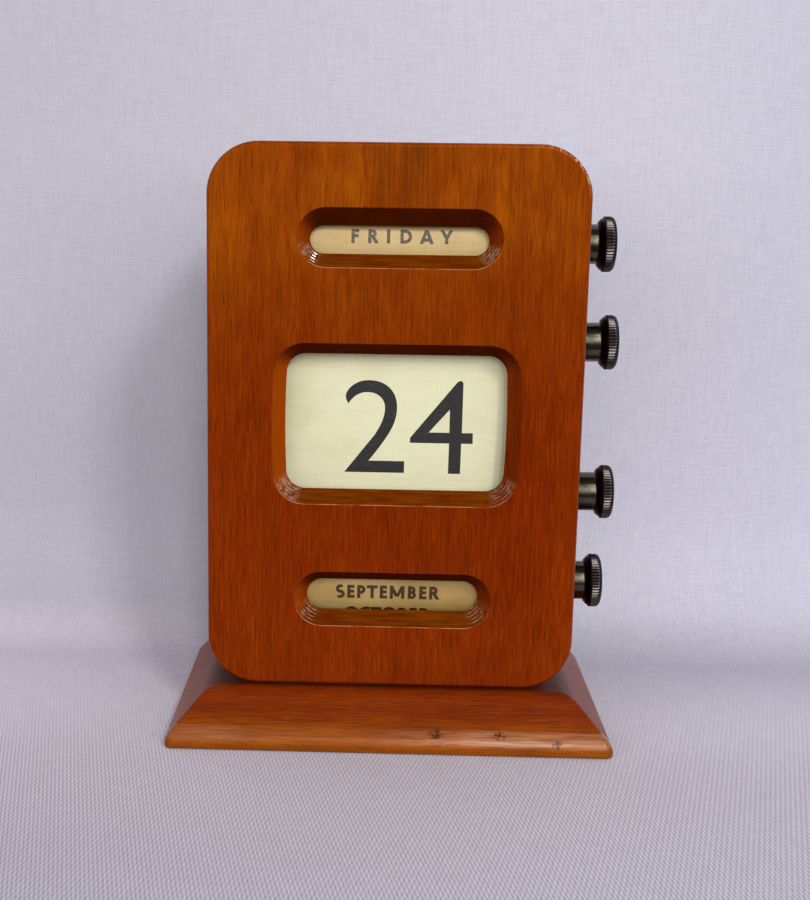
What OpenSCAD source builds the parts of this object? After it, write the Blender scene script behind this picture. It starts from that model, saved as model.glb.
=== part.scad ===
// Perpetual desk calendar: a varnished wooden case on a bevelled plinth.
// A drum shows the weekday, a second drum shows the month, and a linen band
// wound between two rollers shows the date. Each is turned by a brass knob.
// Millimetres. X points to the knob side, Y to the back, Z up.
// The origin is the centre of the plinth's footprint, on the table.

/* [Case] */
// Outside width of the case
case_w = 95.25; // [86:0.25:115]
// Outside height of the case
case_h = 139.7; // [136:0.1:160]
// Outside depth of the case, from face to back
case_d = 47.5; // [42:0.5:60]
// Radius of the four corners, seen from the front
corner_r = 13; // [10:0.5:16]
// Thickness of the top, bottom and side boards
board_t = 9.5; // [8:0.5:11]
// Thickness of the front panel
front_t = 5; // [4:0.25:5.5]
// Thickness of the back panel
back_t = 4; // [3:0.25:6]
// Rounding of the front panel's outer edge
edge_r = 1; // [0.5:0.1:1.5]

/* [Windows] */
// Width of the weekday window at the face
day_win_w = 51.4; // [46:0.2:56]
// Height of the weekday window at the face
day_win_h = 14.9; // [13.5:0.1:16]
// Height of the weekday window's centre above the drum's axis
day_win_rise = 1.5; // [0.5:0.1:2]
// How much further the upper wall of the weekday window leans in than the others
day_win_drop = 1.4; // [0.2:0.1:1.8]
// Width of the date window at the face
date_win_w = 63.3; // [56:0.2:66]
// Height of the date window at the face, over the distance between the two date rollers' axes
date_win_over = 1.4; // [-2:0.1:2]
// Corner radius of the date window at the face
date_win_r = 8.2; // [6:0.2:10]
// How far the sides of the date window bow outwards
date_win_bow = 0.3; // [0.1:0.05:1]
// Width of the month window at the face
month_win_w = 51.2; // [46:0.2:56]
// Height of the month window at the face
month_win_h = 14.6; // [13.5:0.1:16]
// Height of the month window's centre above the drum's axis
month_win_rise = -1.2; // [-2:0.1:0]
// How far every window lies to the right of the case's middle
win_shift = 0.5; // [0:0.1:1]
// How much the splayed wall narrows a window on each side
win_splay = 3.2; // [2:0.1:4]

/* [Shafts] */
// Depth of the weekday drum's axis below the top of the case
day_axis_down = 24.7; // [23.5:0.1:26]
// Distance from the weekday drum's axis down to the upper date roller's axis
day_to_upper = 25.5; // [24.5:0.1:28]
// Distance from the month drum's axis up to the lower date roller's axis
month_to_lower = 24.7; // [24:0.1:28]
// Height of the month drum's axis above the underside of the case
month_axis = 24.6; // [24:0.1:26]
// Depth of all four axes behind the face
axis_depth = 19; // [18.5:0.25:22]
// Diameter of the weekday and month drums over their strips
drum_d = 25; // [22:0.5:25.5]
// Thickness of the printed strip round a drum
strip_t = 0.3; // [0.2:0.05:0.5]
// Width of the printed strips and of the date band
strip_w = 64; // [60:1:68]
// Diameter of the bare date rollers
roller_d = 12.7; // [11.5:0.1:13.5]
// Gap between a roller's right end and the case
end_gap = 0.4; // [0.3:0.05:0.8]

/* [Date band] */
// Thickness of the linen band
band_t = 0.2; // [0.15:0.01:0.25]
// Distance from one number to the next along the band
number_pitch = 36; // [34:0.5:38]
// The number that shows in the window
shown_number = 24; // [1:1:31]
// Plain linen at each end of the band, wound on the rollers first
leader = 60; // [40:5:90]

/* [Knobs] */
// Diameter of a knob's knurled head
head_d = 14.3; // [12.5:0.1:16]
// Thickness of the head
head_t = 4.2; // [4:0.1:6]
// Rounding of the head's outer rim
rim_r = 1.3; // [0.5:0.1:1.5]
// Height of the turned chamfer on the back of the head
head_chamfer = 1.3; // [0.8:0.1:1.6]
// Diameter of the neck that turns in the case
neck_d = 10.3; // [8.5:0.1:11]
// Fillet between the neck and the head
neck_fillet = 0.6; // [0.2:0.1:0.9]
// Number of ridges round the head
ridges = 54; // [40:2:64]
// Depth of the grooves between the ridges
groove = 0.3; // [0.2:0.05:0.4]
// Neck outside the case, weekday knob
day_neck = 4.4; // [3:0.1:8]
// Neck outside the case, upper date knob
upper_neck = 6.2; // [3:0.1:8]
// Neck outside the case, lower date knob
lower_neck = 6.9; // [3:0.1:8]
// Neck outside the case, month knob
month_neck = 5; // [3:0.1:8]
// Diameter of the spigot that drives the roller
spigot_d = 5; // [4:0.1:6]
// Length of the spigot inside the roller
spigot_l = 10; // [6:0.5:14]

/* [Pins and washers] */
// Diameter of the steel pin in each roller's left end
pin_d = 3; // [2:0.1:4]
// Length of the pin inside the roller
pin_in = 8; // [5:0.5:12]
// Length of the pin inside the left board
pin_out = 5; // [3:0.5:6]
// Diameter of the felt friction washers
washer_d = 10; // [8:0.5:12]
// Thickness of the felt friction washers
washer_t = 0.8; // [0.5:0.1:1.2]

/* [Plinth] */
// Height of the plinth's top above the table
plinth_h = 13.5; // [11:0.5:18]
// Plinth beyond the case on the left and on the right
side_ledge = 9.9; // [7:0.1:14]
// Plinth in front of the case
front_ledge = 14; // [13:0.5:18]
// Plinth behind the case
back_ledge = 7.5; // [4:0.5:12]
// Width of the moulded edge, from its rim to the flat top
bevel_run = 12.8; // [10:0.2:13]
// Height of the upright lip between the rounded foot and the nose
lip_h = 0.2; // [0.1:0.1:1.5]
// Radius of the nose, between the lip and the bevel
lip_r = 5; // [3:0.5:6]
// Radius of the crest, between the bevel and the flat top
crest_r = 6; // [3:0.5:7]
// Rounding of the lip's lower edge
foot_r = 0.5; // [0.2:0.1:0.5]
// Rounding of the plinth's front corners, seen from above
plinth_corner_r = 2; // [1:0.5:4]
// Thickness of the baize under the plinth
baize_t = 1; // [0.6:0.1:2]
// How far the baize stands out of its recess
baize_proud = 0.3; // [0.1:0.1:0.4]
// Bare wood round the baize
baize_margin = 6; // [4:0.5:10]

/* [Screws] */
// Shank diameter of the back panel's screws
back_screw_d = 2.5; // [2:0.1:3]
// Length of the back panel's screws
back_screw_l = 14; // [10:0.5:18]
// Distance of the back panel's screws from its top and bottom edge
back_screw_in = 16; // [14:0.5:20]
// Shank diameter of the plinth's screws
base_screw_d = 3.5; // [3:0.1:4]
// Length of the plinth's screws
base_screw_l = 19; // [16:0.5:20]
// Distance between the plinth's two screws
base_screw_gap = 50; // [30:1:56]

/* [Clearances] */
// Radial running clearance of the knob necks and the pins
run_clear = 0.08; // [0.02:0.01:0.1]
// Radial clearance of what is glued, wound or screwed in
fit_clear = 0.05; // [0.02:0.01:0.1]
// Gap between the felt washers and the rollers
felt_gap = 0.1; // [0.05:0.05:0.2]
// Gap between the hanging stretch of the band and its rolls
band_gap = 0.3; // [0.2:0.05:0.4]

/* [Hidden] */

// Smoothness of turned surfaces, and of the children of a hull
turned_fn = 96;
hull_fn = 32;
// Overrun of a cutting shape past the face it cuts
over = 0.5;

// Plinth footprint and the case's place on it
plinth_w = case_w + 2 * side_ledge;
plinth_d = case_d + front_ledge + back_ledge;
face_y = -plinth_d / 2 + front_ledge;
back_y = face_y + case_d;
case_z = plinth_h;
axis_y = face_y + axis_depth;
frame_y0 = face_y + front_t;
frame_y1 = back_y - back_t;

// Heights of the four axes above the underside of the case, and the window between the date rollers
day_axis = case_h - day_axis_down;
upper_axis = day_axis - day_to_upper;
lower_axis = month_axis + month_to_lower;
date_win_h = upper_axis - lower_axis + date_win_over;

// Inside faces of the side boards, and the rollers between them
right_in = case_w / 2 - board_t;
left_in = -right_in;
roller_x0 = left_in + washer_t + felt_gap;
roller_x1 = right_in - end_gap;
roller_l = roller_x1 - roller_x0;
washer_x0 = left_in;

// Radius of band wound on a roller, for a number of whole steps and the leader
last_number = 31;
function roll_r(steps) =
    sqrt(pow(roller_d / 2 + fit_clear, 2) + (steps * number_pitch + leader) * band_t / PI);
upper_roll_r = roll_r(shown_number - 1);
lower_roll_r = roll_r(last_number - shown_number);

// Screw heads: countersunk at 90 degrees, twice the shank wide
head_ratio = 2;

// Points of an arc, centre c, radius r, from angle a0 to a1 in n steps
function arc(c, r, a0, a1, n) =
    [for (i = [0 : n]) let (a = a0 + (a1 - a0) * i / n) [c[0] + r * cos(a), c[1] + r * sin(a)]];

// Rounded rectangle, centred in X, standing on Y = 0
module rounded_rect(w, h, r) {
    for (x = [-w / 2 + r, w / 2 - r], y = [r, h - r])
        translate([x, y]) circle(r, $fn = turned_fn);
    translate([-w / 2, r]) square([w, h - 2 * r]);
    translate([-w / 2 + r, 0]) square([w - 2 * r, h]);
}

// Stands a drawing up: drawn X stays X, drawn Y becomes Z, depth runs from y0 to y1
module upright(y0, y1) {
    translate([0, y1, 0]) rotate([90, 0, 0]) linear_extrude(y1 - y0) children();
}

// Slice of the case between two depths, with its rounded corners
module case_slice(y0, y1) {
    upright(y0, y1) translate([0, case_z]) rounded_rect(case_w, case_h, corner_r);
}

// Cylinder along X from x0 to x1 on the axis at the given case height
module shaft(x0, x1, r, axis) {
    translate([x0, axis_y, case_z + axis])
        rotate([0, 90, 0]) cylinder(h = x1 - x0, r = r, $fn = turned_fn);
}

// Countersunk wood screw along Z, its head's face at the origin, shank downwards
module wood_screw(d, l) {
    translate([0, 0, -l]) cylinder(h = l, d = d, $fn = turned_fn / 2);
    translate([0, 0, -d * (head_ratio - 1) / 2])
        cylinder(h = d * (head_ratio - 1) / 2, d1 = d, d2 = d * head_ratio, $fn = turned_fn / 2);
}

// The hole for such a screw
module screw_hole(d, l) {
    c = fit_clear;
    translate([0, 0, -l - c]) cylinder(h = l + c + over, d = d + 2 * c, $fn = turned_fn / 2);
    translate([0, 0, -d * (head_ratio - 1) / 2])
        cylinder(h = d * (head_ratio - 1) / 2, d1 = d + 2 * c, d2 = d * head_ratio + 2 * c,
                 $fn = turned_fn / 2);
    cylinder(h = over, d = d * head_ratio + 2 * c, $fn = turned_fn / 2);
}

// Places of the four back screws, heads to the back
module at_back_screws() {
    for (x = [-1, 1], z = [back_screw_in, case_h - back_screw_in])
        translate([x * (case_w - board_t) / 2, back_y, case_z + z]) rotate([-90, 0, 0]) children();
}

// Places of the two plinth screws, heads down in the baize recess
module at_base_screws() {
    for (x = [-1, 1])
        translate([x * base_screw_gap / 2, (frame_y0 + frame_y1) / 2, baize_t])
            rotate([180, 0, 0]) children();
}

// Half of the plinth's section: foot, lip, round nose, bevel and round crest.
// The bevel is the line that touches both the nose and the crest.
function moulded_edge(half) =
    let (foot = [half - foot_r, baize_proud + foot_r],
         nose = [half - lip_r, foot[1] + lip_h],
         crest = [half - bevel_run, plinth_h - crest_r],
         way = crest - nose,
         turn = atan2(way[1], way[0]) - acos((lip_r - crest_r) / norm(way)))
    concat(
        arc(foot, foot_r, -90, 0, 4),
        arc(nose, lip_r, 0, turn, 8),
        arc(crest, crest_r, turn, 90, 8));

function mirrored(points) = [for (i = [len(points) - 1 : -1 : 0]) [-points[i][0], points[i][1]]];

// Plinth: one board, moulded at the front and both sides, upright at the back
module base_board() {
    half_w = plinth_w / 2;
    half_d = plinth_d / 2;
    color("sienna") difference() {
        intersection() {
            upright(-half_d, half_d)
                polygon(concat(moulded_edge(half_w), mirrored(moulded_edge(half_w))));
            rotate([0, 0, 90]) upright(-half_w, half_w)
                polygon(concat([[half_d, baize_proud], [half_d, plinth_h]],
                               mirrored(moulded_edge(half_d))));
            translate([0, 0, -over]) linear_extrude(plinth_h + 2 * over)
                polygon(concat(
                    arc([-half_w + plinth_corner_r, -half_d + plinth_corner_r],
                        plinth_corner_r, 180, 270, 6),
                    arc([half_w - plinth_corner_r, -half_d + plinth_corner_r],
                        plinth_corner_r, 270, 360, 6),
                    [[half_w, half_d], [-half_w, half_d]]));
        }
        baize_block(fit_clear, over);
        at_base_screws() screw_hole(base_screw_d, base_screw_l);
    }
}

// The baize's block: grown sideways by side, and downwards by down
module baize_block(side, down) {
    w = plinth_w - 2 * baize_margin + 2 * side;
    d = plinth_d - 2 * baize_margin + 2 * side;
    translate([-w / 2, -d / 2, -down]) cube([w, d, baize_t + down]);
}

// Green baize glued into the recess of the plinth
module baize_pad() {
    color("darkgreen") baize_block(0, 0);
}

// Two wood screws up through the plinth into the case's bottom board
module base_screws() {
    color("goldenrod") at_base_screws() wood_screw(base_screw_d, base_screw_l);
}

// Top or bottom board, between the side boards
module cross_board(z0) {
    intersection() {
        case_slice(frame_y0, frame_y1);
        translate([left_in, frame_y0 - over, case_z + z0])
            cube([right_in - left_in, frame_y1 - frame_y0 + 2 * over, board_t]);
    }
}

module case_bottom() {
    color("saddlebrown") difference() {
        cross_board(0);
        at_base_screws() screw_hole(base_screw_d, base_screw_l);
    }
}

module case_top() {
    color("saddlebrown") cross_board(case_h - board_t);
}

// Side board, from its inner face at x0 outwards over the whole height
module side_board(x0) {
    intersection() {
        case_slice(frame_y0, frame_y1);
        translate([x0, frame_y0 - over, case_z])
            cube([board_t, frame_y1 - frame_y0 + 2 * over, case_h]);
    }
}

// Left board, with a blind hole for each roller's pin
module case_left() {
    color("saddlebrown") difference() {
        side_board(-case_w / 2);
        for (axis = [day_axis, upper_axis, lower_axis, month_axis])
            shaft(left_in - pin_out - fit_clear, left_in + over, pin_d / 2 + run_clear, axis);
        at_back_screws() screw_hole(back_screw_d, back_screw_l);
    }
}

// Right board, bored through for the four knob necks
module case_right() {
    color("saddlebrown") difference() {
        side_board(right_in);
        for (axis = [day_axis, upper_axis, lower_axis, month_axis])
            shaft(right_in - over, case_w / 2 + over, neck_d / 2 + run_clear, axis);
        at_back_screws() screw_hole(back_screw_d, back_screw_l);
    }
}

// Splayed window cutter: w, h and r are its size at the face, z its centre.
// A disc stands at each corner before the face and behind the panel, or along
// a shallow arc where the sides bow. The rear ones lie lower by half of drop
// and are smaller by it, so that the upper wall leans in further by drop.
module window_cut(w, h, r, z, bow = 0, drop = 0) {
    steps = bow > 0 ? 4 : 1;
    disc_t = over / 10;
    hull() for (t = [-over / front_t, 1 + over / front_t], side = [-1, 1], i = [0 : steps])
        let (up = 2 * i / steps - 1, x = w / 2 - r - bow * up * up + t * drop / 2)
            translate([win_shift + side * x, face_y + t * front_t,
                       case_z + z - t * drop / 2 + up * (h / 2 - r)])
                rotate([t < 0 ? 90 : -90, 0, 0])
                    cylinder(h = disc_t, r = r - t * (win_splay + drop / 2), $fn = hull_fn);
}

// Front panel: rounded outer edge and three splayed windows
module front_panel() {
    steps = 4;
    color("chocolate") difference() {
        hull() for (i = [0 : steps], x = [-1, 1], z = [corner_r, case_h - corner_r])
            let (a = 90 * i / steps, inset = edge_r * (1 - cos(a)), y = face_y + edge_r * (1 - sin(a)))
                translate([x * (case_w / 2 - corner_r), y, case_z + z]) rotate([-90, 0, 0])
                    cylinder(h = frame_y0 - y, r = corner_r - inset, $fn = 2 * hull_fn);
        window_cut(day_win_w, day_win_h, day_win_h / 2, day_axis + day_win_rise, drop = day_win_drop);
        window_cut(date_win_w, date_win_h, date_win_r, (upper_axis + lower_axis) / 2, date_win_bow);
        window_cut(month_win_w, month_win_h, month_win_h / 2, month_axis + month_win_rise);
    }
}

// Back panel, screwed on the rear edges of the side boards
module back_panel() {
    color("sienna") difference() {
        case_slice(frame_y1, back_y);
        at_back_screws() screw_hole(back_screw_d, back_screw_l);
    }
}

module back_screws() {
    color("goldenrod") at_back_screws() wood_screw(back_screw_d, back_screw_l);
}

// Felt washers glued to the left board: they hold each roller where it is set
module friction_washers() {
    color("dimgray") for (axis = [day_axis, upper_axis, lower_axis, month_axis])
        difference() {
            shaft(washer_x0, washer_x0 + washer_t, washer_d / 2, axis);
            shaft(washer_x0 - over, washer_x0 + washer_t + over, pin_d / 2 + run_clear, axis);
        }
}

// Turned wooden cylinder with a hole in each end, for the pin and the spigot
module turned_roller(r, axis) {
    difference() {
        shaft(roller_x0, roller_x1, r, axis);
        shaft(roller_x0 - over, roller_x0 + pin_in + fit_clear, pin_d / 2 + fit_clear, axis);
        shaft(roller_x1 - spigot_l - fit_clear, roller_x1 + over, spigot_d / 2 + fit_clear, axis);
    }
}

// Strip or wound band: a sleeve from r0 to r1, in the middle of the windows
module sleeve(r0, r1, axis) {
    x0 = win_shift - strip_w / 2;
    difference() {
        shaft(x0, x0 + strip_w, r1, axis);
        shaft(x0 - over, x0 + strip_w + over, r0, axis);
    }
}

// Steel pin in the left end, turning in the left board
module left_pin(axis) {
    shaft(left_in - pin_out, roller_x0 + pin_in, pin_d / 2, axis);
}

// Knurled brass knob: spigot, neck and head in one turned piece, out is the neck outside.
// The turned outline stands a groove's depth proud of the ridges, so that its
// chamfer and its rounded rim cut the ends of the ridges.
module knob(out, axis) {
    r = head_d / 2;
    turned_r = r + groove;
    turned_rim = rim_r + groove;
    neck = neck_d / 2;
    shoulder = neck + neck_fillet;
    inner = -board_t - end_gap;
    tip = out + head_t;
    outline = concat(
        [[0, inner - spigot_l], [spigot_d / 2, inner - spigot_l], [spigot_d / 2, inner], [neck, inner]],
        arc([shoulder, out - neck_fillet], neck_fillet, 180, 90, 4),
        [[turned_r, out + head_chamfer * (turned_r - shoulder) / (r - shoulder)]],
        arc([turned_r - turned_rim, tip - turned_rim], turned_rim, 0, 90, 5),
        [[0, tip]]);
    grip = [for (i = [0 : 2 * ridges - 1])
        let (a = i * 180 / ridges, q = r - (i % 2) * groove) [q * cos(a), q * sin(a)]];
    translate([case_w / 2, axis_y, case_z + axis]) rotate([0, 90, 0]) intersection() {
        rotate_extrude($fn = turned_fn) polygon(outline);
        translate([0, 0, inner - spigot_l - over]) linear_extrude(tip - inner + spigot_l + 2 * over)
            polygon(grip);
    }
}

module day_drum() {
    color("burlywood") turned_roller(drum_d / 2 - strip_t - fit_clear, day_axis);
}

module day_strip() {
    color("khaki") sleeve(drum_d / 2 - strip_t, drum_d / 2, day_axis);
}

module day_pin() {
    color("silver") left_pin(day_axis);
}

module day_knob() {
    color("darkslategray") knob(day_neck, day_axis);
}

module date_upper_roller() {
    color("burlywood") turned_roller(roller_d / 2, upper_axis);
}

// Band wound on the upper roller: the numbers before the one shown
module date_upper_roll() {
    color("cornsilk") sleeve(roller_d / 2 + fit_clear, upper_roll_r, upper_axis);
}

module date_upper_pin() {
    color("silver") left_pin(upper_axis);
}

module date_upper_knob() {
    color("darkslategray") knob(upper_neck, upper_axis);
}

module date_lower_roller() {
    color("burlywood") turned_roller(roller_d / 2, lower_axis);
}

// Band wound on the lower roller: the numbers after the one shown
module date_lower_roll() {
    color("cornsilk") sleeve(roller_d / 2 + fit_clear, lower_roll_r, lower_axis);
}

module date_lower_pin() {
    color("silver") left_pin(lower_axis);
}

module date_lower_knob() {
    color("darkslategray") knob(lower_neck, lower_axis);
}

// Taut stretch of band that runs in front of both rolls, behind the date window
module date_band() {
    span = upper_axis - lower_axis;
    lean = atan2(upper_roll_r - lower_roll_r, span);
    color("cornsilk")
        translate([win_shift - strip_w / 2, axis_y - lower_roll_r - band_gap, case_z + lower_axis])
            rotate([lean, 0, 0])
                translate([0, -band_t, 0]) cube([strip_w, band_t, span / cos(lean)]);
}

module month_drum() {
    color("burlywood") turned_roller(drum_d / 2 - strip_t - fit_clear, month_axis);
}

module month_strip() {
    color("darkkhaki") sleeve(drum_d / 2 - strip_t, drum_d / 2, month_axis);
}

module month_pin() {
    color("silver") left_pin(month_axis);
}

module month_knob() {
    color("darkslategray") knob(month_neck, month_axis);
}

base_board();
baize_pad();
base_screws();
case_bottom();
case_left();
case_right();
case_top();
front_panel();
back_panel();
back_screws();
friction_washers();
day_drum();
day_strip();
day_pin();
day_knob();
date_upper_roller();
date_upper_roll();
date_upper_pin();
date_upper_knob();
date_lower_roller();
date_lower_roll();
date_lower_pin();
date_lower_knob();
date_band();
month_drum();
month_strip();
month_pin();
month_knob();
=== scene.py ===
import math

import bmesh
import bpy
from mathutils import Matrix, Vector
from mathutils.geometry import delaunay_2d_cdt


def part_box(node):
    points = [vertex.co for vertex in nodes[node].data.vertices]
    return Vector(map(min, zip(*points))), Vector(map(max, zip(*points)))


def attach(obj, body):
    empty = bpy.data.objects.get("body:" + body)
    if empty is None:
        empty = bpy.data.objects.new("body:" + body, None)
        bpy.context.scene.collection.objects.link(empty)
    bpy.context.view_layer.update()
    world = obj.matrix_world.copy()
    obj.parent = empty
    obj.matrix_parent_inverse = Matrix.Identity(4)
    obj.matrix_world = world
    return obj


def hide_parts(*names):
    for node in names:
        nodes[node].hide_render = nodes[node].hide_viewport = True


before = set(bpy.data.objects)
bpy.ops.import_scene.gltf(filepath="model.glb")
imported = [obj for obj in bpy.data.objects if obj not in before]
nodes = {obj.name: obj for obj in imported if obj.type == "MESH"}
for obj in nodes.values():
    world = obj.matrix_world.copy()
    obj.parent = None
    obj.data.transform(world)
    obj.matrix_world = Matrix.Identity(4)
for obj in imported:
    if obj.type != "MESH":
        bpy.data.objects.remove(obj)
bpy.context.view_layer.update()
scene = bpy.context.scene
mm = 0.001


# ---- Camera -----------------------------------------------------------------
# A slightly long lens stands about as high as the calendar's top, straight in
# front, and looks down a little. Its frame is shifted a little to the right.

camera = bpy.data.objects.new("camera", bpy.data.cameras.new("camera"))
scene.collection.objects.link(camera)
scene.camera = camera
camera.data.sensor_width = 36
camera.data.lens = 56
camera.data.shift_x, camera.data.shift_y = 0.0767, 0.009
camera_place = Vector((-4.41, -371.11, 143.1)) * mm
camera_turn, camera_tilt, camera_roll = 0.0291, 0.1937, 0.01335
camera.matrix_world = (
    Matrix.Translation(camera_place)
    @ Matrix.Rotation(camera_turn, 4, "Z")
    @ Matrix.Rotation(math.pi / 2 - camera_tilt, 4, "X")
    @ Matrix.Rotation(camera_roll, 4, "Z")
)


# ---- Plinth -----------------------------------------------------------------
# One mahogany board, moulded at the front and both sides to a bevel between a
# round nose and a round crest, stained and varnished. A shallow recess
# underneath takes the baize, and two screws pass up through it.


def paint(red, green, blue):
    """A colour as it is seen, 0 to 255, in the renderer's own numbers."""
    shares = [value / 255 for value in (red, green, blue)]
    return [s / 12.92 if s < 0.04 else ((s + 0.055) / 1.055) ** 2.4 for s in shares] + [1]


class Wire:
    """A socket among a material's nodes; reckoning with wires adds Math nodes."""

    def __init__(self, tree, socket=None):
        self.tree = tree
        self.socket = socket

    def node(self, kind, settings=None, sockets=None, out=0):
        """Adds one node: its settings first, then its sockets' values or links."""
        made = self.tree.nodes.new("ShaderNode" + kind)
        for name, value in (settings or {}).items():
            setattr(made, name, value)
        for key, value in (sockets or {}).items():
            if isinstance(value, Wire):
                self.tree.links.new(value.socket, made.inputs[key])
            else:
                made.inputs[key].default_value = value
        return Wire(self.tree, made.outputs[out] if made.outputs else None)

    def math(self, operation, first, second=0.0):
        return self.node("Math", {"operation": operation}, {0: first, 1: second})

    def __add__(self, other):
        return self.math("ADD", self, other)

    def __sub__(self, other):
        return self.math("SUBTRACT", self, other)

    def __rsub__(self, other):
        return self.math("SUBTRACT", other, self)

    def __mul__(self, other):
        return self.math("MULTIPLY", self, other)

    __radd__ = __add__
    __rmul__ = __mul__

    def between(self, low, high):
        """0 below low, 1 above high, and a soft step in between."""
        return self.node("MapRange", {"interpolation_type": "SMOOTHSTEP"}, {0: self, 1: low, 2: high})

    def mix(self, first, second):
        """Two colours mixed, with this wire as the second one's share."""
        return self.node("Mix", {"data_type": "RGBA"}, {0: self, 6: first, 7: second}, out=2)

    def axis(self, letter):
        """One coordinate of a place."""
        return self.node("SeparateXYZ", None, {0: self}, out="XYZ".index(letter))

    def noise(self, size, detail=2.0, seed=0.0):
        """Blots of about the given size in millimetres along X, Y and Z."""
        spread = [1 / (s * mm) for s in size]
        place = self.node("VectorMath", {"operation": "MULTIPLY"}, {0: self, 1: spread})
        sockets = {"Vector": place, "W": seed, "Scale": 1.0, "Detail": detail}
        return self.node("TexNoise", {"noise_dimensions": "4D"}, sockets)


def new_material(name):
    """An empty node material, and the wire that carries the place on the piece."""
    material = bpy.data.materials.new(name)
    material.use_nodes = True
    material.node_tree.nodes.clear()
    return material, Wire(material.node_tree).node("TexCoord", out=3)


def set_surface(place, colour, roughness, height=None, depth=0.02, clear=None, **plain):
    """Ends the nodes with a Principled surface. Depth is the relief in millimetres, clear
    the share that is seen through, and plain holds the values of its other sockets."""
    sockets = {"Base Color": colour, "Roughness": roughness}
    if height is not None:
        relief = {"Strength": 1.0, "Distance": depth * mm, "Height": height}
        sockets["Normal"] = place.node("Bump", None, relief)
    sockets.update({name.replace("_", " "): value for name, value in plain.items()})
    shader = place.node("BsdfPrincipled", None, sockets)
    if clear is not None:
        shader = place.node("MixShader", None, {0: clear, 1: shader, 2: place.node("BsdfTransparent")})
    place.node("OutputMaterial", None, {"Surface": shader})


def wood_figure(place, grain, deep, bright, seed):
    """Colour and relief of varnished mahogany whose fibres run along one axis."""

    def fibres(long, wide):
        return [long if letter == grain else wide for letter in "XYZ"]

    cloud = place.noise(fibres(160, 16), 3, seed).between(0.3, 0.7)
    blotch = place.noise(fibres(16, 6), 4, seed + 5).between(0.38, 0.66)
    ribbon = place.noise(fibres(90, 1.8), 3, seed + 1).between(0.35, 0.7)
    streak = place.noise(fibres(26, 0.6), 2, seed + 2).between(0.42, 0.7)
    fleck = place.noise(fibres(8, 0.36), 2, seed + 3)
    pores = place.noise(fibres(5, 0.24), 1, seed + 4).between(0.54, 0.68)
    colour = (cloud * 0.6 + 0.2).mix(deep, bright)
    colour = (blotch * 0.34).mix(colour, paint(100, 24, 3))
    colour = (ribbon * 0.24).mix(colour, paint(98, 27, 3))
    colour = (streak * 0.26).mix(colour, paint(88, 28, 3))
    colour = (fleck.between(0.5, 0.7) * 0.26).mix(colour, paint(164, 80, 7))
    colour = (fleck.between(0.48, 0.3) * 0.34).mix(colour, paint(76, 20, 3))
    colour = (pores * 0.5).mix(colour, paint(62, 17, 2))
    height = fleck * 0.5 - pores
    return colour, height, pores


weld = 0.0004 * mm  # points nearer than this are one


def skin(bm, rings, closed=True):
    """Quads between rings of points, one ring after another; gives their vertices."""
    rows = [[bm.verts.new(point) for point in ring] for ring in rings]
    count = len(rows[0])
    for near, far in zip(rows, rows[1:]):
        for i in range(count if closed else count - 1):
            j = (i + 1) % count
            bm.faces.new((near[i], near[j], far[j], far[i]))
    return rows


def fill(bm, axis, outer, *holes):
    """A flat face square to one axis, from its outer loop and the loops of its holes."""
    kept = [i for i in range(3) if i != "XYZ".index(axis)]
    verts, faces = [], []
    for loop in (outer, *holes):
        faces.append(range(len(verts), len(verts) + len(loop)))
        verts += loop
    points = [Vector([v.co[i] / mm for i in kept]) for v in verts]
    found = delaunay_2d_cdt(points, [], [list(f) for f in faces], 1, 1e-7)
    triangles, from_points, from_loops = found[2], found[3], found[5]
    for triangle, loops in zip(triangles, from_loops):
        if loops == [0]:
            bm.faces.new([verts[from_points[i][0]] for i in triangle])


def ring_round(centre, radius, height):
    """Points of a level circle."""
    turns = [2 * math.pi * i / 32 for i in range(32)]
    return [(centre[0] + radius * math.cos(a), centre[1] + radius * math.sin(a), height) for a in turns]


def add_piece(name, bm, body, material, slot, *replaced):
    """Closes a mesh, gives it its finish and lets it ride on its body."""
    bmesh.ops.remove_doubles(bm, verts=bm.verts, dist=weld)
    bmesh.ops.recalc_face_normals(bm, faces=bm.faces)
    mesh = bpy.data.meshes.new(name)
    bm.to_mesh(mesh)
    bm.free()
    mesh.materials.append(material)
    mesh.shade_smooth()
    mesh.set_sharp_from_angle(angle=math.radians(32))
    piece = bpy.data.objects.new(name, mesh)
    scene.collection.objects.link(piece)
    even = piece.modifiers.new("even shading", "WEIGHTED_NORMAL")
    even.keep_sharp = True
    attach(piece, body)
    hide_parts(*replaced)
    return piece


plinth_low, plinth_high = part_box("base_board")
baize_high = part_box("baize_pad")[1]
panel_low, panel_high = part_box("front_panel")
screw_low, screw_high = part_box("base_screws")
lip_round, crest_round, foot_round = 5 * mm, 6 * mm, 0.5 * mm
lip_height, bevel_run = 0.2 * mm, 12.8 * mm
corner_round, ridge_round, back_round = 2 * mm, 0.7 * mm, 0.3 * mm
slot_clearance = 0.05 * mm
plinth_top = plinth_high.z


def moulded_edge():
    """(inset, height) pairs up the plinth's edge: foot, round nose, bevel and round crest."""
    foot_z = plinth_low.z + foot_round
    nose_z, crest_z = foot_z + lip_height, plinth_top - crest_round
    way = Vector((lip_round - bevel_run, crest_z - nose_z))
    turn = math.atan2(way.y, way.x) - math.acos((lip_round - crest_round) / way.length)
    edge = []
    for centre, z, radius, start, end, steps in (
            (foot_round, foot_z, foot_round, -math.pi / 2, 0, 5), (lip_round, nose_z, lip_round, 0, turn, 14),
            (bevel_run, crest_z, crest_round, turn, math.pi / 2, 14)):
        for i in range(steps + 1):
            a = start + (end - start) * i / steps
            edge.append((centre - radius * math.cos(a), z + radius * math.sin(a)))
    return edge


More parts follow.
